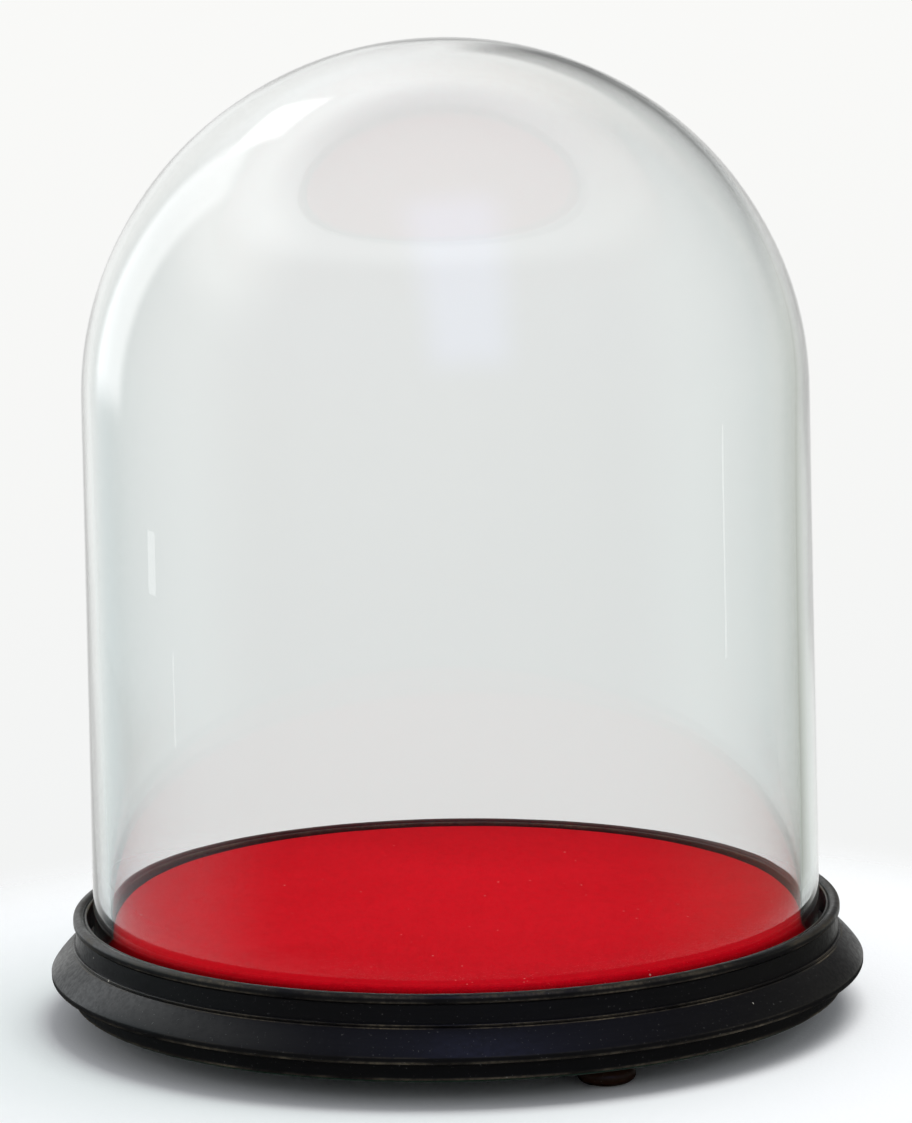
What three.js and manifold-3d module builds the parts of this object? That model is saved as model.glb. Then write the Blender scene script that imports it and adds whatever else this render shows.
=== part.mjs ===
// A glass bell jar dome that stands in the groove of a turned, ebonised base with a velvet display platform.
// Millimetres, +Z up. The origin is on the ground, under the centre of the base.
import * as THREE from "three";
import { mergeVertices } from "three/addons/utils/BufferGeometryUtils.js";
import Module from "manifold-3d";

const wasm = await Module();
wasm.setup();

// Driving dimensions.
const GAP = 0.3; // between pieces that touch
const BASE_BOTTOM = 12.1; // underside of the base, above the ground
const LEDGE_HEIGHT = 40; // top of the ledge that the platform and the dome stand on

const RIM_RADIUS = 187.8; // outside of the lip round the groove
const RIM_HEIGHT = 51.5; // where the lip's round top meets its outer side
const RIM_CREST = 53.6; // top of the lip
const GROOVE_RADIUS = 181; // outer wall of the groove
const WALL_RADIUS = 186.94; // foot of the upright wall under the lip
const WALL_FOOT = 38.55; // its height
const BASE_RADIUS = 199; // widest part of the moulding
const WIDEST_HEIGHT = 25.8; // where the slope reaches it
const BEAD_SIZE = 1.8; // radius of the bead at the slope's lower edge
const BEAD_BOTTOM = 22.2;
const COVE_SIZE = 2.4; // radius of the hollow between the bead and the band
const COVE_CENTRE = 18.9; // height of its centre
const FOOT_BAND_RADIUS = 188.5; // set-back band round the bottom
const BAND_EDGE = 0.8; // its chamfer at the bottom
const LIP_UNDERSIDE = 50; // where the lip starts to stick out from the wall
const QUIRK_HEIGHT = 48.3; // bottom of the hollow under the lip
const QUIRK_DEPTH = 0.7;
const BORE_RADIUS = 150; // hole through the moulding
const REBATE_RADIUS = 176; // wider bore from below, for the flange of the base board
const REBATE_TOP = 25.4;

const DOME_RADIUS = 177.8; // outside of the glass at its rim, for a 14 in dome
const DOME_BORE = 169.8; // inside of the glass at its rim
const DOME_BOTTOM = 41.5; // height of the glass rim
const CROWN_CENTRE = 306.9; // height where the straight wall ends and the crown starts
const CROWN_RADIUS = 176.7; // outside of the glass at that height
const CROWN_HEIGHT = 173.2; // rise of the crown, which is a little flatter than a hemisphere
const CROWN_BORE = 171.5; // inside of the glass at that height
const CROWN_WALL = 2.2; // thickness of the glass at the apex
const GLASS_EDGE = 2.5; // rounding of the fire-polished rim

const VELVET_RADIUS = 169;
const VELVET_TOP = 53.5;
const VELVET_THICKNESS = 1.3;
const VELVET_ROLL = 4; // rounding of the platform's edge
const WADDING_THICKNESS = 2;
const MARGIN_RADIUS = 152; // inner edge of the velvet that is turned under the platform
const VELVET_EDGE = 0.8; // chamfer where the velvet turns under
const BOARD_EDGE = 1; // chamfer of the platform board

const FELT_THICKNESS = 0.9;
const BAIZE_THICKNESS = 0.9;
const BAIZE_RADIUS = 186.5;

const FOOT_RADIUS = 14; // at the bulge
const FOOT_FLAT = 9; // at the ground
const FOOT_COLLAR = 10; // under the base
const FOOT_CIRCLE = 165;
const FOOT_ANGLES = [25, 145, 265]; // degrees from the front, -Y, towards the right, +X
const FOOT_SCREW_SEAT = 3; // height of the screw's head, up inside the foot
const FOOT_SCREW_LENGTH = 20;

const MOULDING_SCREW_CIRCLE = 163;
const MOULDING_SCREW_ANGLES = [55, 115, 175, 235, 295, 355];
const MOULDING_SCREW_LENGTH = 24;
const PLATFORM_SCREW_CIRCLE = 110;
const PLATFORM_SCREW_ANGLES = [40, 130, 220, 310];
const PLATFORM_SCREW_LENGTH = 35.4;
const SCREW_HEAD_RADIUS = 4;
const SCREW_HEAD_HEIGHT = 2.4;
const SCREW_SHANK_RADIUS = 2;
const SCREW_TIP_LENGTH = 4;
const SLOT_WIDTH = 1;
const SLOT_DEPTH = 1.1;

const LARGE_SEGMENTS = 64; // round the base and the dome
const FOOT_SEGMENTS = 20;
const SCREW_SEGMENTS = 12;

const finish = (color, roughness, metalness = 0, opacity = 1) =>
  new THREE.MeshStandardMaterial({ color, roughness, metalness, opacity, transparent: opacity < 1 });
const GLASS = finish(0xdfe9e4, 0.03, 0, 0.3);
const EBONISED = finish(0x17171a, 0.35);
const PLYWOOD = finish(0xb58f62, 0.8);
const VELVET = finish(0xc4121f, 0.95);
const WADDING = finish(0xe6e0d2, 1);
const FELT = finish(0x1d1a19, 1);
const BAIZE = finish(0x1f4a33, 1);
const BRASS = finish(0xb08d4a, 0.4, 1);

// Points on an arc in a section, from one angle to another in degrees, 0 pointing outwards and 90 up. On an ellipse,
// size is its half width and tall its half height.
function arc(radius, height, size, from, to, steps, tall = size) {
  const points = [];
  for (let i = 0; i <= steps; i++) {
    const angle = THREE.MathUtils.degToRad(from + ((to - from) * i) / steps);
    points.push([radius + size * Math.cos(angle), height + tall * Math.sin(angle)]);
  }
  return points;
}

// A section of [radius, height] points turned about Z, going up its outer side and down its inner side.
function turned(section, segments = LARGE_SEGMENTS) {
  const points = section.map(([radius, height]) => new THREE.Vector2(radius, height));
  const geometry = new THREE.LatheGeometry(points, segments);
  return geometry.rotateX(Math.PI / 2);
}

const ring = (section, segments) => turned([...section, section[0]], segments);

function solidOf(geometry) {
  const bare = geometry.clone();
  bare.deleteAttribute("normal");
  bare.deleteAttribute("uv");
  const merged = mergeVertices(bare, 1e-4);
  const vertProperties = new Float32Array(merged.attributes.position.array);
  const triVerts = new Uint32Array(merged.index.array);
  return new wasm.Manifold(new wasm.Mesh({ numProp: 3, vertProperties, triVerts }));
}

// The geometry with every cutter taken away from it.
function cut(geometry, cutters) {
  let solid = solidOf(geometry);
  for (const cutter of cutters) solid = solid.subtract(solidOf(cutter));
  const mesh = solid.getMesh();
  const result = new THREE.BufferGeometry();
  result.setAttribute("position", new THREE.BufferAttribute(mesh.vertProperties, 3));
  result.setIndex(new THREE.BufferAttribute(mesh.triVerts, 1));
  result.computeVertexNormals();
  return result;
}

// A place on a circle, at an angle in degrees from the front towards the right.
function onCircle(radius, degrees, height = 0) {
  const angle = THREE.MathUtils.degToRad(degrees);
  return [radius * Math.sin(angle), -radius * Math.cos(angle), height];
}

const group = new THREE.Group();

function add(name, geometry, material, place = [0, 0, 0]) {
  const mesh = new THREE.Mesh(geometry, material);
  mesh.name = name;
  mesh.position.set(...place);
  group.add(mesh);
}

// The section of a countersunk wood screw, head down, with its head's face at height 0.
function screwSection(length, clearance = 0) {
  const shank = SCREW_SHANK_RADIUS + clearance;
  const tip = length + clearance;
  return [
    [0, -clearance],
    [SCREW_HEAD_RADIUS + clearance, -clearance],
    [shank, SCREW_HEAD_HEIGHT],
    [shank, tip - SCREW_TIP_LENGTH],
    [0, tip],
  ];
}

function screw(length) {
  const slot = new THREE.BoxGeometry(4 * SCREW_HEAD_RADIUS, SLOT_WIDTH, 2 * SLOT_DEPTH);
  return cut(turned(screwSection(length), SCREW_SEGMENTS), [slot]);
}

// Holes for screws on a circle, with clearance all round and the head's face at a height.
function screwHoles(length, circle, angles, height) {
  return angles.map((degrees) =>
    turned(screwSection(length, GAP), SCREW_SEGMENTS).translate(...onCircle(circle, degrees, height)),
  );
}

const footScrewHoles = () => screwHoles(FOOT_SCREW_LENGTH, FOOT_CIRCLE, FOOT_ANGLES, FOOT_SCREW_SEAT);
const mouldingScrewHoles = () =>
  screwHoles(MOULDING_SCREW_LENGTH, MOULDING_SCREW_CIRCLE, MOULDING_SCREW_ANGLES, BASE_BOTTOM);
const platformScrewHoles = () =>
  screwHoles(PLATFORM_SCREW_LENGTH, PLATFORM_SCREW_CIRCLE, PLATFORM_SCREW_ANGLES, BASE_BOTTOM);

// The glass: a slightly tapering wall under a round crown, thinning evenly from the rim to the apex, open at the bottom.
function glassDome() {
  const outside = [
    ...arc(DOME_RADIUS - GLASS_EDGE, DOME_BOTTOM + GLASS_EDGE, GLASS_EDGE, -90, 0, 2),
    ...arc(0, CROWN_CENTRE, CROWN_RADIUS, 0, 90, 12, CROWN_HEIGHT),
  ];
  const inside = [
    ...arc(0, CROWN_CENTRE, CROWN_BORE, 90, 0, 12, CROWN_HEIGHT - CROWN_WALL),
    ...arc(DOME_BORE + GLASS_EDGE, DOME_BOTTOM + GLASS_EDGE, GLASS_EDGE, 180, 270, 2),
  ];
  // The arcs end a hair off the axis, so both ends are set on it.
  outside[outside.length - 1][0] = 0;
  inside[0][0] = 0;
  return turned([...inside, ...outside]);
}

// Half the outline of the moulding's slope: it leaves the wall flat and steepens to the widest part.
function slope(steps) {
  const steepness = 1.73; // 1 would be a quarter ellipse, 2 a straight line
  const points = [];
  for (let i = 0; i <= steps; i++) {
    const angle = ((i / steps) * Math.PI) / 2;
    const out = Math.sin(angle) ** steepness;
    const up = Math.cos(angle) ** steepness;
    points.push([
      WALL_RADIUS + (BASE_RADIUS - WALL_RADIUS) * out,
      WIDEST_HEIGHT + (WALL_FOOT - WIDEST_HEIGHT) * up,
    ]);
  }
  return points;
}

// The turned ring that shows: band, bead, slope, wall and lip, with the ledge and rebate inside it.
function plinthMoulding() {
  const lipMiddle = (RIM_RADIUS + GROOVE_RADIUS) / 2;
  const section = [
    [FOOT_BAND_RADIUS - BAND_EDGE, BASE_BOTTOM],
    [FOOT_BAND_RADIUS, BASE_BOTTOM + BAND_EDGE],
    ...arc(FOOT_BAND_RADIUS + COVE_SIZE, COVE_CENTRE, COVE_SIZE, 180, 90, 2),
    ...arc(BASE_RADIUS - BEAD_SIZE, BEAD_BOTTOM + BEAD_SIZE, BEAD_SIZE, -90, 0, 2),
    ...slope(5).reverse(),
    [WALL_RADIUS - QUIRK_DEPTH, QUIRK_HEIGHT],
    [RIM_RADIUS, LIP_UNDERSIDE],
    ...arc(lipMiddle, RIM_HEIGHT, RIM_RADIUS - lipMiddle, 0, 180, 5, RIM_CREST - RIM_HEIGHT),
    [GROOVE_RADIUS, LEDGE_HEIGHT],
    [BORE_RADIUS, LEDGE_HEIGHT],
    [BORE_RADIUS, REBATE_TOP],
    [REBATE_RADIUS, REBATE_TOP],
    [REBATE_RADIUS, BASE_BOTTOM],
  ];
  return cut(ring(section), mouldingScrewHoles());
}

// The board that plugs the moulding from below, with a flange that the moulding is screwed to.
function baseBoard() {
  const section = [
    [0, BASE_BOTTOM],
    [REBATE_RADIUS - GAP, BASE_BOTTOM],
    [REBATE_RADIUS - GAP, REBATE_TOP - GAP],
    [BORE_RADIUS - GAP, REBATE_TOP - GAP],
    [BORE_RADIUS - GAP, LEDGE_HEIGHT],
    [0, LEDGE_HEIGHT],
  ];
  return cut(turned(section), [...mouldingScrewHoles(), ...platformScrewHoles(), ...footScrewHoles()]);
}

const velvetInside = VELVET_RADIUS - VELVET_THICKNESS;
const marginTop = LEDGE_HEIGHT + GAP + VELVET_THICKNESS;
const waddingTop = VELVET_TOP - VELVET_THICKNESS - GAP;
const waddingBottom = waddingTop - WADDING_THICKNESS;

// The round board under the velvet.
function platformBoard() {
  const radius = velvetInside - GAP;
  const top = waddingBottom - GAP;
  const section = [
    [0, marginTop + GAP],
    [radius, marginTop + GAP],
    [radius, top - BOARD_EDGE],
    [radius - BOARD_EDGE, top],
    [0, top],
  ];
  return cut(turned(section), platformScrewHoles());
}

function waddingPad() {
  const rollCentre = VELVET_RADIUS - VELVET_ROLL;
  const radius = VELVET_ROLL - VELVET_THICKNESS - GAP;
  const side = arc(rollCentre, VELVET_TOP - VELVET_ROLL, radius, 10, 90, 3);
  side[0][1] = waddingBottom;
  return turned([[0, waddingBottom], ...side, [0, waddingTop]]);
}

// The velvet: over the top, rolled down the edge and turned under the board.
function velvetCover() {
  const rollCentre = VELVET_RADIUS - VELVET_ROLL;
  const rollHeight = VELVET_TOP - VELVET_ROLL;
  const section = [
    [0, VELVET_TOP - VELVET_THICKNESS],
    ...arc(rollCentre, rollHeight, VELVET_ROLL - VELVET_THICKNESS, 90, 0, 2),
    [velvetInside, marginTop],
    [MARGIN_RADIUS, marginTop],
    [MARGIN_RADIUS, LEDGE_HEIGHT + GAP],
    [VELVET_RADIUS - VELVET_EDGE, LEDGE_HEIGHT + GAP],
    [VELVET_RADIUS, LEDGE_HEIGHT + GAP + VELVET_EDGE],
    ...arc(rollCentre, rollHeight, VELVET_ROLL, 0, 90, 3),
    [0, VELVET_TOP],
  ];
  return turned(section);
}

// The felt strip in the groove, which the glass rim stands on.
function grooveFelt() {
  const bottom = LEDGE_HEIGHT + GAP;
  const inner = VELVET_RADIUS + 2 * GAP;
  const outer = GROOVE_RADIUS - 2 * GAP;
  return ring([
    [outer, bottom],
    [outer, bottom + FELT_THICKNESS],
    [inner, bottom + FELT_THICKNESS],
    [inner, bottom],
  ]);
}

const baizeTop = BASE_BOTTOM - GAP;
const baizeBottom = baizeTop - BAIZE_THICKNESS;

// The green baize glued under the base, pierced by the feet's screws.
function undersideBaize() {
  const section = [
    [0, baizeBottom],
    [BAIZE_RADIUS, baizeBottom],
    [BAIZE_RADIUS, baizeTop],
    [0, baizeTop],
  ];
  return cut(turned(section), footScrewHoles());
}

// A turned bun foot with a counterbored screw hole up its middle.
function bunFoot() {
  const top = baizeBottom - GAP;
  const hole = SCREW_SHANK_RADIUS + GAP;
  const counterbore = SCREW_HEAD_RADIUS + GAP;
  const half = 0.46 * top; // the bulge takes 92% of the foot's height
  return ring(
    [
      [counterbore, 0],
      [FOOT_FLAT, 0],
      ...arc(FOOT_FLAT, half, FOOT_RADIUS - FOOT_FLAT, -75, 60, 6, half),
      [FOOT_COLLAR, top],
      [hole, top],
      [hole, FOOT_SCREW_SEAT + SCREW_HEAD_HEIGHT],
      [counterbore, FOOT_SCREW_SEAT - GAP],
    ],
    FOOT_SEGMENTS,
  );
}

add("glass_dome", glassDome(), GLASS);
add("plinth_moulding", plinthMoulding(), EBONISED);
add("base_board", baseBoard(), PLYWOOD);
add("platform_board", platformBoard(), PLYWOOD);
add("wadding_pad", waddingPad(), WADDING);
add("velvet_cover", velvetCover(), VELVET);
add("groove_felt", grooveFelt(), FELT);
add("underside_baize", undersideBaize(), BAIZE);

FOOT_ANGLES.forEach((degrees, i) => {
  add(`bun_foot_${i + 1}`, bunFoot(), EBONISED, onCircle(FOOT_CIRCLE, degrees));
  const seat = onCircle(FOOT_CIRCLE, degrees, FOOT_SCREW_SEAT);
  add(`foot_screw_${i + 1}`, screw(FOOT_SCREW_LENGTH), BRASS, seat);
});
MOULDING_SCREW_ANGLES.forEach((degrees, i) => {
  const seat = onCircle(MOULDING_SCREW_CIRCLE, degrees, BASE_BOTTOM);
  add(`moulding_screw_${i + 1}`, screw(MOULDING_SCREW_LENGTH), BRASS, seat);
});
PLATFORM_SCREW_ANGLES.forEach((degrees, i) => {
  const seat = onCircle(PLATFORM_SCREW_CIRCLE, degrees, BASE_BOTTOM);
  add(`platform_screw_${i + 1}`, screw(PLATFORM_SCREW_LENGTH), BRASS, seat);
});

export default group;
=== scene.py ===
"""The looks of a glass bell jar dome on its ebonised base with a velvet display platform.

Metres, +Z up, the origin on the ground under the centre of the base, -Y the front.
"""
import math

import bpy
from mathutils import Matrix, Vector, noise


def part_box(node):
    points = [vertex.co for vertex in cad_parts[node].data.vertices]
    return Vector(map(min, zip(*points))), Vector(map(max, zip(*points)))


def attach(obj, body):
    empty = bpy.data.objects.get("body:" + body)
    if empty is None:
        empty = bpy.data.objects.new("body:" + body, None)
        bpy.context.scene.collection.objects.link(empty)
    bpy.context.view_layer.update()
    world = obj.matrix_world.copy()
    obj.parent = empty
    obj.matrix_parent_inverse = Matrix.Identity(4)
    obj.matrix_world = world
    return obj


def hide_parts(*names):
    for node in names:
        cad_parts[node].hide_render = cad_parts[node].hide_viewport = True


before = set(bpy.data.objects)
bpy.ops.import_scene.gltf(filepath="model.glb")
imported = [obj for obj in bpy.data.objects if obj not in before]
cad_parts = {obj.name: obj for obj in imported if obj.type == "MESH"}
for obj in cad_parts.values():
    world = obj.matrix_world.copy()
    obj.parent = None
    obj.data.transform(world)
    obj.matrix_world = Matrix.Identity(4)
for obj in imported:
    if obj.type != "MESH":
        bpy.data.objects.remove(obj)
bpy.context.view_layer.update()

MM = 0.001

# The frame's sizes that the pieces are built from.
GLASS_LOW, GLASS_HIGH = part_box("glass_dome")
BASE_LOW, BASE_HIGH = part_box("plinth_moulding")
VELVET_LOW, VELVET_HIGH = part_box("velvet_cover")
WADDING_LOW, WADDING_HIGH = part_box("wadding_pad")
FELT_LOW, FELT_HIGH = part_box("groove_felt")
BAIZE_LOW, BAIZE_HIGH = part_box("underside_baize")

DOME_RADIUS = GLASS_HIGH.x
RIM_WALL = 8.0 * MM  # thickness of the glass at its rim
CROWN_WALL = 2.2 * MM  # and at its apex
CROWN_RADIUS = DOME_RADIUS - 1.1 * MM  # the wall tapers a little towards the crown
CROWN_RISE = 173.2 * MM  # the crown is a little flatter than a hemisphere
CROWN_CENTRE = GLASS_HIGH.z - CROWN_RISE
GLASS_EDGE = 2.5 * MM  # rounding of the fire-polished rim
GLASS_SWELL = 0.22 * MM  # the wall's slow unevenness
BORE_OFFSET = 1.1 * MM  # how far the inside is off centre, halfway up

BASE_RADIUS = BASE_HIGH.x
BASE_BOTTOM = BASE_LOW.z
RIM_CREST = BASE_HIGH.z
LEDGE_HEIGHT = BASE_BOTTOM + 27.9 * MM
RIM_RADIUS = BASE_RADIUS - 11.2 * MM
RIM_HEIGHT = RIM_CREST - 2.1 * MM
GROOVE_RADIUS = RIM_RADIUS - 6.8 * MM
WALL_RADIUS = RIM_RADIUS - 0.86 * MM
WALL_FOOT = BASE_BOTTOM + 26.45 * MM
WIDEST_HEIGHT = BASE_BOTTOM + 13.7 * MM
SLOPE_STEEPNESS = 1.73  # 1 would be a quarter ellipse, 2 a straight line
BAND_RADIUS = BASE_RADIUS - 10.5 * MM
BEAD_SIZE = 1.8 * MM
BEAD_BOTTOM = BASE_BOTTOM + 10.1 * MM
BORE_RADIUS = 150 * MM
REBATE_RADIUS = 176 * MM
REBATE_TOP = BASE_BOTTOM + 13.3 * MM

VELVET_RADIUS = VELVET_HIGH.x
VELVET_TOP = VELVET_HIGH.z
VELVET_THICKNESS = 1.3 * MM
VELVET_ROLL = 4 * MM
VELVET_MARGIN = 17 * MM  # turned under the platform

TURNS = 256  # round a large turned piece

# The camera, as the photograph was taken: its place, and the turn of its view.
CAMERA_DISTANCE = 4.4401
CAMERA_HEIGHT = 1.0975
CAMERA_DOWN = 11.125  # degrees below level
CAMERA_PAN = 0.044
CAMERA_ROLL = 1.208
CAMERA_LENS = 298.13  # mm on a 36 mm sensor

# The stage, in metres from the axis. The floor and the flag fade out from their first to their second radius.
FLOOR_RADIUS = 0.8
FLOOR_FADE = (0.28, 0.42)
FLAG_RADIUS = 1.15
FLAG_FADE = (0.75, 1.1)
FLAG_LIFT = 0.1 * MM  # above the floor
LIGHT_BOUNCES = 24


# ---------------------------------------------------------------- sections and turned meshes

def arc(radius, height, size, start, end, steps=8, tall=None):
    """Points on an arc of a section, 0 degrees pointing outwards and 90 up. An ellipse also gets its tall."""
    tall = size if tall is None else tall
    points = []
    for i in range(steps + 1):
        angle = math.radians(start + (end - start) * i / steps)
        points.append((radius + size * math.cos(angle), height + tall * math.sin(angle)))
    return points


def finely(section, step):
    """The section with points added so that no two are further apart than step."""
    points = [section[0]]
    for a, b in zip(section, section[1:]):
        parts = max(1, math.ceil(math.dist(a, b) / step))
        for i in range(1, parts + 1):
            share = i / parts
            points.append((a[0] + (b[0] - a[0]) * share, a[1] + (b[1] - a[1]) * share))
    return points


def convexity(section, reach, closed):
    """How much each point of a section sticks out, from 0 on a flat or a hollow to 1 on a sharp edge."""
    count = len(section)
    turns = [0.0] * count
    for i in range(count):
        if not closed and i in (0, count - 1):
            continue
        a, b, c = section[i - 1], section[i], section[(i + 1) % count]
        before = math.atan2(b[1] - a[1], b[0] - a[0])
        after = math.atan2(c[1] - b[1], c[0] - b[0])
        turns[i] = (after - before + math.pi) % (2 * math.pi) - math.pi
    values = []
    for point in section:
        total = sum(
            turn * max(0.0, 1 - math.dist(point, other) / reach)
            for turn, other in zip(turns, section)
            if turn and math.dist(point, other) < reach
        )
        values.append(min(1.0, max(0.0, total)))
    return values


def turned(name, section, turns=TURNS, closed=False, shift=None, edge_reach=1.6 * MM):
    """A mesh of a section turned about Z, going up its outer side and down its inner side.

    The section starts and ends on the axis, or is closed on itself. shift(point, normal) moves a vertex.
    The mesh keeps two attributes for its material: lathe, its place round and along the section, and edge,
    how much it sticks out.
    """
    vertices, faces, rows, lathe, edge = [], [], [], [], []
    along = 0.0
    # The edge attribute also places the ebony's brown edges, which are partly a painted highlight.
    sticking = convexity(section, edge_reach, closed)
    for i, (radius, height) in enumerate(section):
        along += math.dist(section[i - 1], section[i]) if i else 0.0
        count = turns if radius > 1e-7 else 1
        rows.append(range(len(vertices), len(vertices) + count))
        for k in range(count):
            angle = 2 * math.pi * k / turns
            vertices.append(Vector((radius * math.sin(angle), -radius * math.cos(angle), height)))
            lathe.append((math.sin(angle), -math.cos(angle), along))
            edge.append(sticking[i])
    pairs = list(zip(rows, rows[1:])) + ([(rows[-1], rows[0])] if closed else [])
    for low, high in pairs:
        for k in range(turns):
            a, b = low[k % len(low)], low[(k + 1) % len(low)]
            c, d = high[(k + 1) % len(high)], high[k % len(high)]
            if len(low) == 1 and len(high) == 1:
                continue
            faces.append([v for v in dict.fromkeys((a, b, c, d))])
    mesh = bpy.data.meshes.new(name)
    mesh.from_pydata(vertices, [], faces)
    mesh.attributes.new("lathe", "FLOAT_VECTOR", "POINT").data.foreach_set(
        "vector", [value for point in lathe for value in point])
    mesh.attributes.new("edge", "FLOAT", "POINT").data.foreach_set("value", edge)
    if shift:
        moved = [v.co + shift(v.co, v.normal) for v in mesh.vertices]
        for vertex, place in zip(mesh.vertices, moved):
            vertex.co = place
    return finished(name, mesh)


def finished(name, mesh, sharp=40):
    """An object of the mesh, smooth but for edges sharper than this many degrees."""
    mesh.validate()
    mesh.shade_smooth()
    mesh.set_sharp_from_angle(angle=math.radians(sharp))
    piece = bpy.data.objects.new(name, mesh)
    bpy.context.scene.collection.objects.link(piece)
    return piece


def place(piece, body, slot, material, *nodes):
    """Gives a piece its material, sets it to ride on a body and to stand for its CAD nodes. Its slot is not
    used.
    """
    piece.data.materials.clear()
    piece.data.materials.append(material)
    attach(piece, body)
    if nodes:
        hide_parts(*nodes)
    return piece


# ---------------------------------------------------------------- material nodes

def node(tree, kind, inputs=None, **settings):
    """A new shader node with its settings, and its inputs set to values or linked to sockets."""
    made = tree.nodes.new("ShaderNode" + kind)
    for key, value in settings.items():
        setattr(made, key, value)
    for key, value in (inputs or {}).items():
        if isinstance(value, bpy.types.NodeSocket):
            tree.links.new(value, made.inputs[key])
        else:
            made.inputs[key].default_value = value
    return made


def maths(tree, operation, a, b=0.0, clamp=False):
    return node(tree, "Math", {0: a, 1: b}, operation=operation, use_clamp=clamp).outputs[0]


def span(tree, value, low, high, start=0.0, end=1.0):
    """value taken from low..high to start..end, smoothly and no further."""
    inputs = {"Value": value, "From Min": low, "From Max": high, "To Min": start, "To Max": end}
    return node(tree, "MapRange", inputs, interpolation_type="SMOOTHSTEP").outputs[0]


def blend(tree, share, a, b):
    """A colour between a and b."""
    made = node(tree, "Mix", data_type="RGBA")
    sockets = {s.identifier: s for s in made.inputs}
    for key, value in (("Factor_Float", share), ("A_Color", a), ("B_Color", b)):
        if isinstance(value, bpy.types.NodeSocket):
            tree.links.new(value, sockets[key])
        else:
            sockets[key].default_value = value
    return next(s for s in made.outputs if s.identifier == "Result_Color")


def speckle(tree, vector, scale, detail=2.0, roughness=0.5):
    inputs = {"Vector": vector, "Scale": scale, "Detail": detail, "Roughness": roughness}
    return node(tree, "TexNoise", inputs).outputs["Fac"]


def stretched(tree, vector, scale):
    return node(tree, "Mapping", {"Vector": vector, "Scale": scale}).outputs[0]


def bumped(tree, height, distance, strength=1.0, normal=None):
    inputs = {"Height": height, "Distance": distance, "Strength": strength}
    if normal:
        inputs["Normal"] = normal
    return node(tree, "Bump", inputs).outputs[0]


def new_material(name):
    material = bpy.data.materials.new(name)
    material.use_nodes = True
    tree = material.node_tree
    tree.nodes.clear()
    return material, tree, node(tree, "OutputMaterial")


def surface(tree, output, inputs):
    shader = node(tree, "BsdfPrincipled", inputs)
    tree.links.new(shader.outputs[0], output.inputs["Surface"])


def position(tree):
    return node(tree, "TexCoord").outputs["Object"]


def attribute(tree, name, output="Vector"):
    return node(tree, "Attribute", attribute_name=name).outputs[output]


def glass_material():
    """Clear blown glass: a grey-green tint that deepens with its thickness, and a little film of dust."""
    material, tree, output = new_material("blown_glass")
    here = position(tree)
    film = span(tree, speckle(tree, here, 9, 4), 0.55, 0.8, 0.0, 0.035)
    ripple = speckle(tree, stretched(tree, here, (1, 1, 0.35)), 26, 1)
    shader = node(tree, "BsdfPrincipled", {
        "Base Color": (1, 1, 1, 1),
        "Roughness": film,
        "IOR": 1.51,
        "Transmission Weight": 1.0,
        "Normal": bumped(tree, ripple, 0.2 * MM, 0.25),
    })
    through = node(tree, "BsdfTransparent", {"Color": (0.93, 0.95, 0.94, 1)})
    shadow = node(tree, "LightPath").outputs["Is Shadow Ray"]
    mixed = node(tree, "MixShader", {0: shadow, 1: shader.outputs[0], 2: through.outputs[0]})
    tree.links.new(mixed.outputs[0], output.inputs["Surface"])
    tint = node(tree, "VolumeAbsorption", {"Color": (0.52, 0.66, 0.62, 1), "Density": 13.0})
    tree.links.new(tint.outputs[0], output.inputs["Volume"])
    return material


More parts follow.
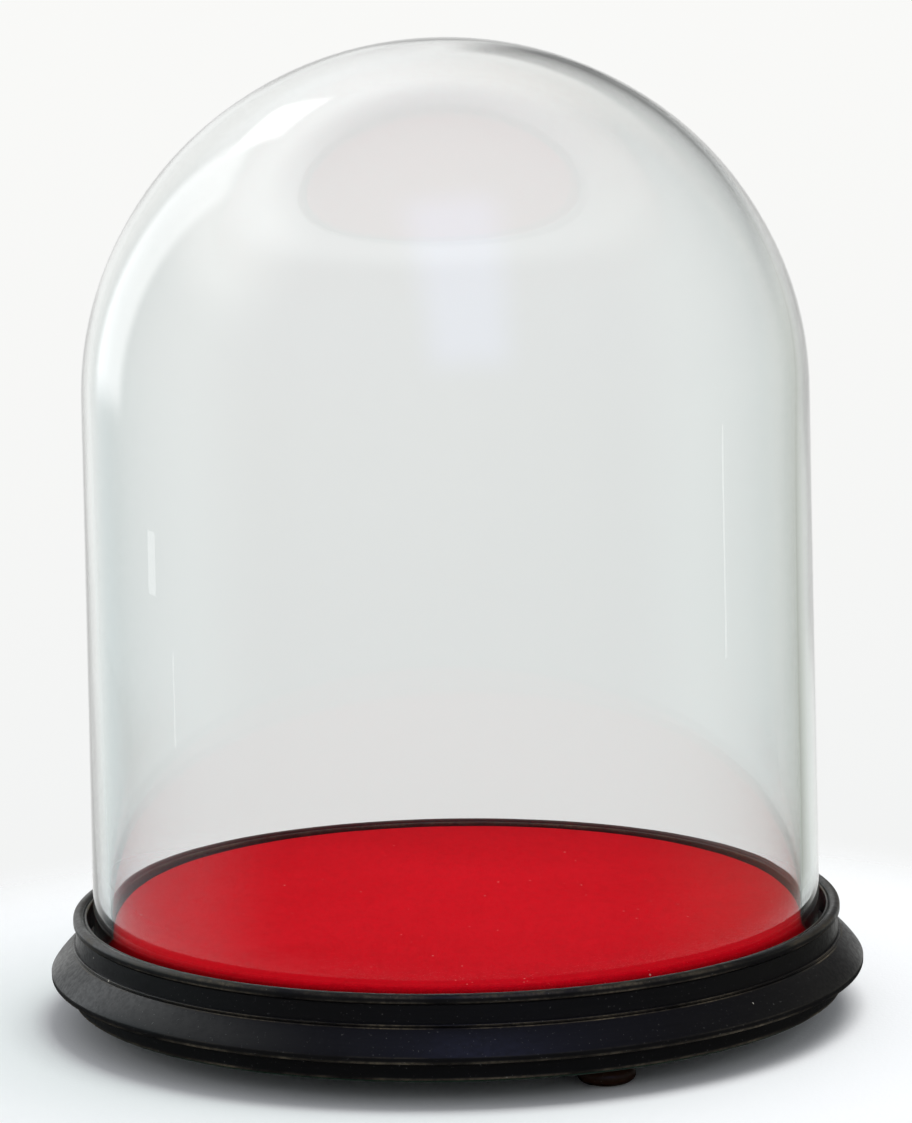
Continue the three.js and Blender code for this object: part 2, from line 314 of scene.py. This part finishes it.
def ebony_material(name="black_polish", brown=0.0, wear_and_highlight=0.7):
    """Black polished hardwood: turning lines, grain under the polish, brown edges that are partly real
    rubbing and partly a painted highlight, dust and chips.
    """
    material, tree, output = new_material(name)
    here = position(tree)
    lathe = attribute(tree, "lathe")
    edge = span(tree, attribute(tree, "edge", "Fac"), 0.35, 0.95)
    grain = speckle(tree, stretched(tree, lathe, (9, 9, 900)), 1, 5, 0.6)
    turning = speckle(tree, stretched(tree, lathe, (1.5, 1.5, 2600)), 1, 2)
    blotch = speckle(tree, here, 22, 5, 0.6)
    fine = speckle(tree, here, 420, 3, 0.65)
    chips = node(tree, "TexVoronoi", {"Vector": here, "Scale": 120}, feature="F1").outputs["Distance"]
    chip_here = speckle(tree, here, 75, 1)
    # The sticking-out edges turn brown: partly rubbing through the polish, partly a painted highlight for the
    # glints they catch.
    rubbing_and_highlight = maths(tree, "MULTIPLY", edge, span(tree, blotch, 0.35, 0.7))
    rubbing_and_highlight = maths(tree, "MULTIPLY", rubbing_and_highlight, span(tree, fine, 0.35, 0.65, 0.35, 1.0), True)
    black = blend(tree, grain, (0.0022 + brown, 0.0020 + brown * 0.3, 0.0022, 1),
                  (0.0065 + 2 * brown, 0.0058 + brown * 0.5, 0.0060, 1))
    # The brown edge colour: rubbing through the polish and a painted highlight.
    edge_brown_and_highlight = blend(tree, maths(tree, "MULTIPLY", rubbing_and_highlight, wear_and_highlight), black, (0.190, 0.155, 0.100, 1))
    dust = span(tree, speckle(tree, here, 900, 2), 0.69, 0.76, 0.0, 0.35)
    dusty = blend(tree, dust, edge_brown_and_highlight, (0.22, 0.22, 0.21, 1))
    chip = maths(tree, "MULTIPLY", span(tree, chips, 0.10, 0.06), span(tree, chip_here, 0.66, 0.7))
    colour = blend(tree, chip, dusty, (0.55, 0.52, 0.46, 1))
    rough = span(tree, blotch, 0.3, 0.75, 0.28, 0.42)
    rough = maths(tree, "ADD", rough, span(tree, fine, 0.35, 0.65, 0.0, 0.12))
    rough = maths(tree, "ADD", rough, maths(tree, "MULTIPLY", rubbing_and_highlight, 0.18))
    rough = maths(tree, "ADD", rough, maths(tree, "MULTIPLY", dust, 0.4), True)
    relief = maths(tree, "ADD", maths(tree, "MULTIPLY", grain, 0.6), maths(tree, "MULTIPLY", turning, 0.4))
    relief = maths(tree, "ADD", relief, maths(tree, "MULTIPLY", fine, 0.5))
    relief = maths(tree, "SUBTRACT", relief, maths(tree, "MULTIPLY", chip, 2.0))
    surface(tree, output, {
        "Base Color": colour,
        "Roughness": rough,
        "Normal": bumped(tree, relief, 0.06 * MM, 0.5),
        "Specular IOR Level": 0.30,
    })
    return material


def velvet_material():
    """Short-pile red velvet: it leans in soft patches, glows at grazing angles and holds a little lint."""
    material, tree, output = new_material("red_velvet")
    here = position(tree)
    lay = speckle(tree, stretched(tree, here, (1, 1.6, 1)), 14, 3, 0.55)
    tuft = speckle(tree, here, 1500, 2, 0.7)
    rows = speckle(tree, stretched(tree, here, (1, 0.22, 1)), 1900, 1)
    deep = blend(tree, lay, (0.72, 0.0016, 0.0090, 1), (0.88, 0.0042, 0.0170, 1))
    mottle = speckle(tree, stretched(tree, here, (1, 0.45, 1)), 330, 3, 0.7)
    # Where the tufts stand lower the red goes darker: painted shade down in the pile, mixed with random
    # mottling.
    shade = maths(tree, "MULTIPLY", span(tree, tuft, 0.3, 0.7), span(tree, mottle, 0.36, 0.56, 0.55, 1.0))
    pile = blend(tree, shade, blend(tree, 0.42, deep, (0.2, 0.0, 0.003, 1)), deep)
    lint_cell = node(tree, "TexVoronoi", {"Vector": here, "Scale": 210}, feature="F1").outputs["Distance"]
    lint_here = speckle(tree, here, 60, 1)
    lint = maths(tree, "MULTIPLY", span(tree, lint_cell, 0.14, 0.07), span(tree, lint_here, 0.63, 0.68))
    colour = blend(tree, maths(tree, "MULTIPLY", lint, 0.55), pile, (0.85, 0.55, 0.52, 1))
    height = maths(tree, "ADD", tuft, maths(tree, "MULTIPLY", rows, 0.5))
    surface(tree, output, {
        "Base Color": colour,
        "Roughness": 0.9,
        "Specular IOR Level": 0.0,
        "Sheen Weight": 0.42,
        "Sheen Roughness": 0.45,
        "Sheen Tint": (1.0, 0.02, 0.03, 1),
        "Normal": bumped(tree, height, 0.35 * MM, 0.6),
    })
    return material


def cloth_material(name, dark, light, fibre_scale=1300, depth=0.3 * MM):
    """Felted wool: short fibres crossing every way, with soft patches of colour."""
    material, tree, output = new_material(name)
    here = position(tree)
    patches = speckle(tree, here, 35, 4)
    across = speckle(tree, stretched(tree, here, (1, 0.18, 1)), fibre_scale, 2)
    along = speckle(tree, stretched(tree, here, (0.18, 1, 1)), fibre_scale, 2)
    fibres = maths(tree, "MAXIMUM", across, along)
    shade = maths(tree, "ADD", maths(tree, "MULTIPLY", patches, 0.4), maths(tree, "MULTIPLY", fibres, 0.6))
    surface(tree, output, {
        "Base Color": blend(tree, span(tree, shade, 0.35, 0.7), dark, light),
        "Roughness": 0.95,
        "Specular IOR Level": 0.1,
        "Sheen Weight": 0.2,
        "Sheen Roughness": 0.5,
        "Normal": bumped(tree, fibres, depth, 0.7),
    })
    return material


def plywood_material():
    """Birch plywood: long grain on the faces and thin plies on the edges."""
    material, tree, output = new_material("plywood")
    here = position(tree)
    grain = speckle(tree, stretched(tree, here, (9, 160, 9)), 1, 6, 0.65)
    figure = speckle(tree, stretched(tree, here, (3, 26, 3)), 1, 3)
    height = node(tree, "SeparateXYZ", {0: here}).outputs["Z"]
    ply = maths(tree, "PINGPONG", height, 1.4 * MM)
    ply = span(tree, ply, 0.55 * MM, 0.85 * MM)
    up = node(tree, "SeparateXYZ", {0: node(tree, "NewGeometry").outputs["Normal"]}).outputs["Z"]
    side = span(tree, maths(tree, "ABSOLUTE", up), 0.8, 0.3)
    face = blend(tree, grain, (0.42, 0.28, 0.15, 1), (0.62, 0.46, 0.28, 1))
    face = blend(tree, maths(tree, "MULTIPLY", figure, 0.4), face, (0.36, 0.22, 0.11, 1))
    edge = blend(tree, ply, (0.5, 0.36, 0.2, 1), (0.24, 0.14, 0.07, 1))
    surface(tree, output, {
        "Base Color": blend(tree, side, face, edge),
        "Roughness": span(tree, grain, 0.2, 0.8, 0.55, 0.8),
        "Normal": bumped(tree, grain, 0.1 * MM, 0.5),
    })
    return material


def brass_material():
    """Dull brass with turning marks, tarnish and a few bright scratches."""
    material, tree, output = new_material("dull_brass")
    here = position(tree)
    tarnish = speckle(tree, here, 260, 4, 0.6)
    scratches = speckle(tree, stretched(tree, here, (1, 14, 14)), 420, 2)
    colour = blend(tree, span(tree, tarnish, 0.4, 0.7), (0.62, 0.44, 0.17, 1), (0.30, 0.20, 0.09, 1))
    surface(tree, output, {
        "Base Color": colour,
        "Metallic": 1.0,
        "Roughness": span(tree, tarnish, 0.3, 0.7, 0.28, 0.55),
        "Normal": bumped(tree, scratches, 0.03 * MM, 0.5),
    })
    return material


# ---------------------------------------------------------------- the dome

def wall_section(steps=56):
    """The glass wall from rim to apex, as pairs of an outer and an inner point. It thins evenly."""
    rim_top = GLASS_LOW.z + GLASS_EDGE
    straight = CROWN_CENTRE - rim_top
    length = straight + CROWN_RADIUS * math.pi / 2
    pairs = []
    for i in range(steps + 1):
        way = length * i / steps
        wall = RIM_WALL + (CROWN_WALL - RIM_WALL) * way / length
        if way < straight:
            radius = DOME_RADIUS - (DOME_RADIUS - CROWN_RADIUS) * way / straight
            height = rim_top + way
            pairs.append(((radius, height), (radius - wall, height)))
        else:
            angle = (way - straight) / CROWN_RADIUS
            out, up = math.cos(angle), math.sin(angle)
            pairs.append(((CROWN_RADIUS * out, CROWN_CENTRE + CROWN_RISE * up),
                          ((CROWN_RADIUS - wall) * out, CROWN_CENTRE + (CROWN_RISE - wall) * up)))
    return pairs


def glass_ripple(point, normal):
    """The slow unevenness of a blown wall, the same on both faces, with the bore a little off centre."""
    share = (point.z - GLASS_LOW.z) / (GLASS_HIGH.z - GLASS_LOW.z)
    fade = min(1.0, share * 12)
    outwards = Vector((point.x, point.y, max(0.0, point.z - CROWN_CENTRE))).normalized()
    swell = noise.noise(outwards * 2.2 + Vector((0, 0, point.z * 6)))
    move = outwards * (GLASS_SWELL * swell * fade)
    if normal.dot(outwards) < -0.2:
        move.x -= BORE_OFFSET * math.sin(math.pi * min(1.0, share))
    return move


def build_glass_dome():
    pairs = wall_section()
    rim_outer, rim_inner = pairs[0]
    inside = [inner for outer, inner in reversed(pairs)][:-1]
    inside += arc(rim_inner[0] + GLASS_EDGE, rim_inner[1], GLASS_EDGE, 180, 270, 6)
    outside = arc(rim_outer[0] - GLASS_EDGE, rim_outer[1], GLASS_EDGE, 270, 360, 6)
    outside += [outer for outer, inner in pairs][1:]
    dome = turned("dome_glass", inside + outside, TURNS, shift=glass_ripple)
    place(dome, "dome", "dome_glass", glass_material(), "glass_dome")


# ---------------------------------------------------------------- the base

def slope(steps):
    """The moulding's slope from its widest part up to the foot of the wall."""
    points = []
    for i in range(steps + 1):
        angle = math.pi / 2 * (1 - i / steps)
        out = math.sin(angle) ** SLOPE_STEEPNESS
        up = math.cos(angle) ** SLOPE_STEEPNESS
        points.append((WALL_RADIUS + (BASE_RADIUS - WALL_RADIUS) * out,
                       WIDEST_HEIGHT + (WALL_FOOT - WIDEST_HEIGHT) * up))
    return points


def build_moulding(material):
    bead_centre = BASE_RADIUS - BEAD_SIZE
    lip_bead = 0.65 * MM  # narrow bead inside the lip
    lip_inner = GROOVE_RADIUS + 2 * lip_bead + 0.2 * MM
    lip_middle = (RIM_RADIUS + lip_inner) / 2
    section = [
        *arc(BAND_RADIUS - 0.8 * MM, BASE_BOTTOM + 0.8 * MM, 0.8 * MM, -90, 0, 4),
        *arc(BAND_RADIUS + 2.4 * MM, BEAD_BOTTOM - 3.3 * MM, 2.4 * MM, 180, 90, 8),
        *arc(bead_centre, BEAD_BOTTOM + BEAD_SIZE, BEAD_SIZE, -90, 0, 8),
        *slope(24)[:-2],
        (WALL_RADIUS + 1.5 * MM, WALL_FOOT - 0.25 * MM),
        # A small bead at the foot of the wall; its edge takes the brown edge colour, here a painted
        # highlight.
        *arc(WALL_RADIUS + 0.7 * MM, WALL_FOOT + 0.25 * MM, 0.5 * MM, -40, 120, 6),
        (WALL_RADIUS, WALL_FOOT + 0.7 * MM),
        (WALL_RADIUS - 0.7 * MM, RIM_HEIGHT - 3.2 * MM),
        *arc(RIM_RADIUS - 0.6 * MM, RIM_HEIGHT - 1.6 * MM, 0.6 * MM, -70, 0, 4),
        *arc(lip_middle, RIM_HEIGHT, RIM_RADIUS - lip_middle, 0, 165, 16, RIM_CREST - RIM_HEIGHT),
        *arc(GROOVE_RADIUS + lip_bead, RIM_HEIGHT + 0.5 * MM, lip_bead, 20, 180, 6),
        (GROOVE_RADIUS, LEDGE_HEIGHT),
        (BORE_RADIUS, LEDGE_HEIGHT),
        (BORE_RADIUS, REBATE_TOP),
        (REBATE_RADIUS, REBATE_TOP),
        (REBATE_RADIUS, BASE_BOTTOM),
    ]
    fine = finely(section + section[:1], 1.2 * MM)[:-1]
    moulding = turned("plinth_ring", fine, TURNS, closed=True)
    place(moulding, "base", "ebonised_wood", material, "plinth_moulding")


def foot_section():
    """A bun foot in millimetres of radius and height: pad, bulge, collar and the counterbored screw hole."""
    return [
        (4.3, 0.0), *arc(8.4, 0.5, 0.5, 270, 350, 3), *arc(9.2, 4.7, 4.8, -62, 58, 16, 4.2),
        (11.2, 8.7), *arc(10.6, 9.6, 0.9, -50, 90, 6, 1.0), (2.3, 10.6), (2.3, 5.4), (4.3, 2.7),
    ]


def build_feet(material):
    for number in (1, 2, 3):
        low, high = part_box(f"bun_foot_{number}")
        centre = (low + high) / 2
        section = [(radius * MM, low.z + height * MM) for radius, height in foot_section()]
        foot = turned(f"foot_{number}", section, 72, closed=True, edge_reach=1.0 * MM)
        foot.data.transform(Matrix.Translation((centre.x, centre.y, 0)))
        place(foot, "base", "ebonised_wood", material, f"bun_foot_{number}")


def pile_unevenness(point, normal):
    """The velvet's top isn't quite flat: it lies in soft shallow swells over the wadding."""
    swell = noise.noise(Vector((point.x * 22, point.y * 22, 0.3)))
    fine = noise.noise(Vector((point.x * 160, point.y * 160, 4.1)))
    return normal * ((0.10 * swell + 0.05 * fine) * MM)


def build_velvet():
    centre, roll_height = VELVET_RADIUS - VELVET_ROLL, VELVET_TOP - VELVET_ROLL
    inside = VELVET_RADIUS - VELVET_THICKNESS
    margin_top = VELVET_LOW.z + VELVET_THICKNESS
    margin_edge = VELVET_RADIUS - VELVET_MARGIN
    under = finely([(0, VELVET_TOP - VELVET_THICKNESS), (centre, VELVET_TOP - VELVET_THICKNESS)], 12 * MM)
    top = finely([(centre, VELVET_TOP), (0, VELVET_TOP)], 3 * MM)
    section = [
        *under[:-1],
        *arc(centre, roll_height, VELVET_ROLL - VELVET_THICKNESS, 90, 0, 8),
        (inside, margin_top),
        (margin_edge, margin_top),
        (margin_edge, VELVET_LOW.z),
        *arc(VELVET_RADIUS - 0.8 * MM, VELVET_LOW.z + 0.8 * MM, 0.8 * MM, -90, 0, 4),
        *arc(centre, roll_height, VELVET_ROLL, 0, 90, 10),
        *top[1:],
    ]
    velvet = turned("velvet_top", section, TURNS, shift=pile_unevenness)
    place(velvet, "base", "red_velvet", velvet_material(), "velvet_cover")


def build_wadding():
    """Cotton wadding, slightly lumpy, pressed between the platform board and the velvet."""
    radius = WADDING_HIGH.x
    top = finely([(radius - 2 * MM, WADDING_HIGH.z), (0, WADDING_HIGH.z)], 4 * MM)
    bottom = finely([(1 * MM, WADDING_LOW.z), (radius - 0.4 * MM, WADDING_LOW.z)], 12 * MM)
    section = [(0, WADDING_LOW.z), *bottom, (radius - 0.5 * MM, WADDING_LOW.z + 0.9 * MM), *top]

    def lumps(point, normal):
        return normal * (-0.16 * MM * (0.5 + noise.noise(point * 90)))

    wadding = turned("wadding", section, 128, shift=lumps)
    cotton = cloth_material("cotton_wadding", (0.62, 0.58, 0.5, 1), (0.85, 0.83, 0.78, 1), 700, 0.5 * MM)
    place(wadding, "base", "wadding", cotton, "wadding_pad")


def build_groove_felt():
    inner, outer = VELVET_RADIUS + 0.6 * MM, FELT_HIGH.x
    section = [(outer, FELT_LOW.z), (outer, FELT_HIGH.z), (inner, FELT_HIGH.z), (inner, FELT_LOW.z)]
    fine = finely(section + section[:1], 1.2 * MM)[:-1]

    def fuzz(point, normal):
        return normal * (-0.12 * MM * (1 + noise.noise(point * 260)))

    felt = turned("felt_strip", fine, TURNS, closed=True, shift=fuzz)
    wool = cloth_material("dark_felt", (0.010, 0.008, 0.008, 1), (0.035, 0.028, 0.026, 1))
    place(felt, "base", "groove_felt", wool, "groove_felt")


def build_baize():
    radius = BAIZE_HIGH.x
    edge = 0.3 * MM
    section = [
        *finely([(0, BAIZE_LOW.z), (radius - edge, BAIZE_LOW.z)], 4 * MM),
        (radius, BAIZE_LOW.z + edge), (radius, BAIZE_HIGH.z),
        *finely([(radius - 1 * MM, BAIZE_HIGH.z), (0, BAIZE_HIGH.z)], 12 * MM),
    ]

    def nap(point, normal):
        return normal * (-0.08 * MM * (1 + noise.noise(point * 70)))

    baize = turned("baize", section, 192, shift=nap)
    wool = cloth_material("green_baize", (0.003, 0.010, 0.006, 1), (0.008, 0.028, 0.017, 1))
    place(baize, "base", "baize", wool, "underside_baize")


def finish_kept_nodes():
    """The boards and screws keep their CAD shapes, and only get their materials."""
    plywood = plywood_material()
    brass = brass_material()
    for name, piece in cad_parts.items():
        if "screw" not in name and name not in ("base_board", "platform_board"):
            continue
        piece.data.materials.clear()
        piece.data.materials.append(brass if "screw" in name else plywood)


# ---------------------------------------------------------------- stage, lights and camera

def fading(tree, output, cloth, fade):
    """A surface that gives way to nothing as fade goes from 0 to 1."""
    clear = node(tree, "BsdfTransparent")
    mixed = node(tree, "MixShader", {0: fade, 1: cloth.outputs[0], 2: clear.outputs[0]})
    tree.links.new(mixed.outputs[0], output.inputs["Surface"])


def distance_from_axis(tree, here):
    return node(tree, "VectorMath", {0: here}, operation="LENGTH").outputs["Value"]


def build_floor():
    """A plain pale table top that fades into the backdrop. Reflections see the flag instead of it."""
    bpy.ops.mesh.primitive_circle_add(vertices=128, radius=FLOOR_RADIUS, fill_type="NGON")
    floor = bpy.context.object
    floor.name = "floor"
    material, tree, output = new_material("pale_floor")
    here = position(tree)
    matte = node(tree, "BsdfPrincipled", {
        "Base Color": (0.90, 0.915, 0.93, 1),
        "Roughness": 0.8,
        "Specular IOR Level": 0.15,
        "Normal": bumped(tree, speckle(tree, here, 420, 3), 0.5 * MM, 0.3),
    })
    fading(tree, output, matte, span(tree, distance_from_axis(tree, here), *FLOOR_FADE))
    floor.data.materials.append(material)
    floor.visible_glossy = False


def build_flag():
    """A dark cloth that only reflections see, so that the glass doesn't veil the velvet with a pale floor."""
    place_above = (0, 0, FLAG_LIFT)
    bpy.ops.mesh.primitive_circle_add(vertices=64, radius=FLAG_RADIUS, fill_type="NGON", location=place_above)
    flag = bpy.context.object
    flag.name = "flag"
    material, tree, output = new_material("dark_flag")
    here = position(tree)
    shade = blend(tree, speckle(tree, here, 30, 2), (0.03, 0.03, 0.03, 1), (0.05, 0.05, 0.05, 1))
    cloth = node(tree, "BsdfDiffuse", {"Color": shade})
    level = node(tree, "VectorMath", {0: here}, operation="NORMALIZE").outputs[0]
    backwards = node(tree, "SeparateXYZ", {0: level}).outputs["Y"]
    far = span(tree, distance_from_axis(tree, here), *FLAG_FADE)
    fading(tree, output, cloth, maths(tree, "MAXIMUM", far, span(tree, backwards, 0.3, 0.72)))
    flag.data.materials.append(material)
    flag.visible_camera = False
    flag.visible_diffuse = False
    flag.visible_transmission = False
    flag.visible_shadow = False


def towards(azimuth, elevation):
    """A direction, its azimuth turning from the front towards the right, in degrees."""
    turn, rise = math.radians(azimuth), math.radians(elevation)
    return Vector((math.sin(turn) * math.cos(rise), -math.cos(turn) * math.cos(rise), math.sin(rise)))


def soft_window(tree, direction, azimuth, elevation, width, height, cover, softness=0.05):
    """How much of the room a soft-edged window covers in a direction. Its width and height are in degrees."""
    out = towards(azimuth, elevation)
    right = out.cross(Vector((0, 0, 1))).normalized()
    up = right.cross(out)
    ahead, across, upwards = (
        node(tree, "VectorMath", {0: direction, 1: axis}, operation="DOT_PRODUCT").outputs["Value"]
        for axis in (out, right, up)
    )
    share = span(tree, ahead, 0.2, 0.3)
    for value, size in ((across, width), (upwards, height)):
        half = math.sin(math.radians(size / 2))
        edge = span(tree, maths(tree, "ABSOLUTE", value), half - softness, half + softness, 1.0, 0.0)
        share = maths(tree, "MULTIPLY", share, edge)
    return maths(tree, "MULTIPLY", share, cover)


def room_colour(tree, direction, height):
    """What the glass and the polish reflect: a room white behind, grey at the sides and dim in front."""
    flat = node(tree, "VectorMath", {0: direction, 1: (1, 1, 0)}, operation="MULTIPLY").outputs[0]
    level = node(tree, "VectorMath", {0: flat}, operation="NORMALIZE").outputs[0]
    around = node(tree, "SeparateXYZ", {0: level}).outputs
    rightwards = span(tree, around["X"], -0.4, 0.4)
    low_sides = blend(tree, rightwards, (0.50, 0.62, 0.65, 1), (0.30, 0.31, 0.26, 1))
    high_sides = blend(tree, rightwards, (0.46, 0.56, 0.60, 1), (0.20, 0.20, 0.18, 1))
    sides = blend(tree, span(tree, height, -0.05, 0.08), low_sides, high_sides)
    front = blend(tree, span(tree, height, -0.1, 0.5), (0.13, 0.135, 0.14, 1), (0.10, 0.11, 0.18, 1))
    wall = maths(tree, "SUBTRACT", around["Y"], maths(tree, "MULTIPLY", rightwards, 0.07))
    behind = span(tree, wall, 0.70, 0.93)
    high_right = blend(tree, behind, (0.10, 0.10, 0.10, 1), (0.55, 0.55, 0.52, 1))
    high = blend(tree, rightwards, (1.08, 1.12, 1.14, 1), high_right)
    room = blend(tree, behind, sides, (0.93, 0.935, 0.925, 1))
    room = blend(tree, span(tree, height, 0.28, 0.55), room, high)
    room = blend(tree, span(tree, height, 0.72, 0.88), room, (0.10, 0.11, 0.18, 1))
    return blend(tree, span(tree, around["Y"], -0.6, 0.1), front, room)


def with_windows(tree, direction, room):
    """The room with a dark corner at the back right and windows in front, at the left and high up."""
    dark_corner = soft_window(tree, direction, 158, 14, 36, 22, 0.85, 0.04)
    front_window = soft_window(tree, direction, 9, 48, 24, 56, 0.9, 0.12)
    left_window = soft_window(tree, direction, -135, 15, 20, 44, 0.6)
    skylight = soft_window(tree, direction, -149, 37, 12, 13, 0.6, 0.02)
    room = blend(tree, dark_corner, room, (0.08, 0.08, 0.08, 1))
    room = blend(tree, front_window, room, (0.60, 0.68, 1.35, 1))
    room = blend(tree, left_window, room, (2.2, 2.25, 2.3, 1))
    return blend(tree, skylight, room, (3.0, 3.05, 3.1, 1))


def build_world():
    """A pale backdrop to look at, also through the glass, an even fill for shading and a room to reflect."""
    world = bpy.data.worlds.new("studio")
    bpy.context.scene.world = world
    world.cycles.sampling_method = "NONE"
    world.use_nodes = True
    tree = world.node_tree
    tree.nodes.clear()
    direction = node(tree, "TexCoord").outputs["Generated"]
    height = node(tree, "SeparateXYZ", {0: direction}).outputs["Z"]
    backdrop = blend(tree, span(tree, height, -0.27, -0.12), (0.88, 0.89, 0.89, 1), (0.95, 0.95, 0.935, 1))
    room = with_windows(tree, direction, room_colour(tree, direction, height))
    rays = node(tree, "LightPath").outputs
    seen = maths(tree, "MAXIMUM", rays["Is Camera Ray"], rays["Is Transmission Ray"])
    unreflected = maths(tree, "LESS_THAN", rays["Glossy Depth"], 0.5)
    colour = blend(tree, maths(tree, "MULTIPLY", seen, unreflected), room, backdrop)
    colour = blend(tree, rays["Is Diffuse Ray"], colour, (0.62, 0.63, 0.65, 1))
    background = node(tree, "Background", {"Color": colour, "Strength": 1.0})
    output = node(tree, "OutputWorld")
    tree.links.new(background.outputs[0], output.inputs["Surface"])


def add_light(name, azimuth, elevation, distance, size, radiance, colour=(1, 1, 1), aim=0.25, gloss=True):
    """A soft box seen from the dome in a direction. Without gloss it only lights, and nothing reflects it."""
    light = bpy.data.lights.new(name, "AREA")
    light.shape = "RECTANGLE"
    light.size, light.size_y = size
    light.energy = radiance * math.pi * size[0] * size[1]
    light.color = colour
    lamp = bpy.data.objects.new(name, light)
    out = towards(azimuth, elevation)
    lamp.location = Vector((0, 0, aim)) + out * distance
    lamp.rotation_mode = "QUATERNION"
    lamp.rotation_quaternion = (-out).to_track_quat("-Z", "Y")
    lamp.visible_camera = False
    lamp.visible_transmission = False
    lamp.visible_glossy = gloss
    bpy.context.scene.collection.objects.link(lamp)


def build_lights():
    add_light("top_box", 110, 74, 2.4, (1.7, 1.7), 5.3, (1, 0.99, 0.97), gloss=False)
    add_light("left_low_box", -97, -8, 0.8, (0.05, 0.035), 1.3, aim=0.23)
    add_light("left_strip", -89, -9, 0.9, (0.008, 0.07), 1.5, aim=0.16)
    add_light("right_strip", 88, -8, 0.9, (0.010, 0.16), 1.6, aim=0.25)


def build_camera():
    """The camera at the photograph's place, looking down and turned a little."""
    pan, down, roll = (math.radians(a) for a in (CAMERA_PAN, CAMERA_DOWN, -CAMERA_ROLL))
    ahead = Vector((math.sin(pan) * math.cos(down), math.cos(pan) * math.cos(down), -math.sin(down)))
    level = ahead.cross(Vector((0, 0, 1))).normalized()
    upright = level.cross(ahead)
    right = math.cos(roll) * level + math.sin(roll) * upright
    up = -math.sin(roll) * level + math.cos(roll) * upright
    data = bpy.data.cameras.new("camera")
    data.sensor_width = 36
    data.lens = CAMERA_LENS
    camera = bpy.data.objects.new("camera", data)
    turn = Matrix((right, up, -ahead)).transposed().to_4x4()
    camera.matrix_world = Matrix.Translation((0, -CAMERA_DISTANCE, CAMERA_HEIGHT)) @ turn
    bpy.context.scene.collection.objects.link(camera)
    bpy.context.scene.camera = camera


def set_light_paths():
    """Light crosses and bounces in the glass many times before it leaves it."""
    scene = bpy.context.scene
    scene.view_settings.view_transform = "Standard"
    scene.cycles.use_denoising = True
    scene.cycles.max_bounces = LIGHT_BOUNCES
    scene.cycles.glossy_bounces = LIGHT_BOUNCES
    scene.cycles.transmission_bounces = LIGHT_BOUNCES
    scene.cycles.transparent_max_bounces = LIGHT_BOUNCES


# ---------------------------------------------------------------- the whole

build_camera()
build_world()
build_lights()
build_floor()
build_flag()

ebony = ebony_material()
build_glass_dome()
build_moulding(ebony)
build_feet(ebony_material("foot_polish", brown=0.012, wear_and_highlight=0.15))
build_velvet()
build_wadding()
build_groove_felt()
build_baize()

finish_kept_nodes()
set_light_paths()
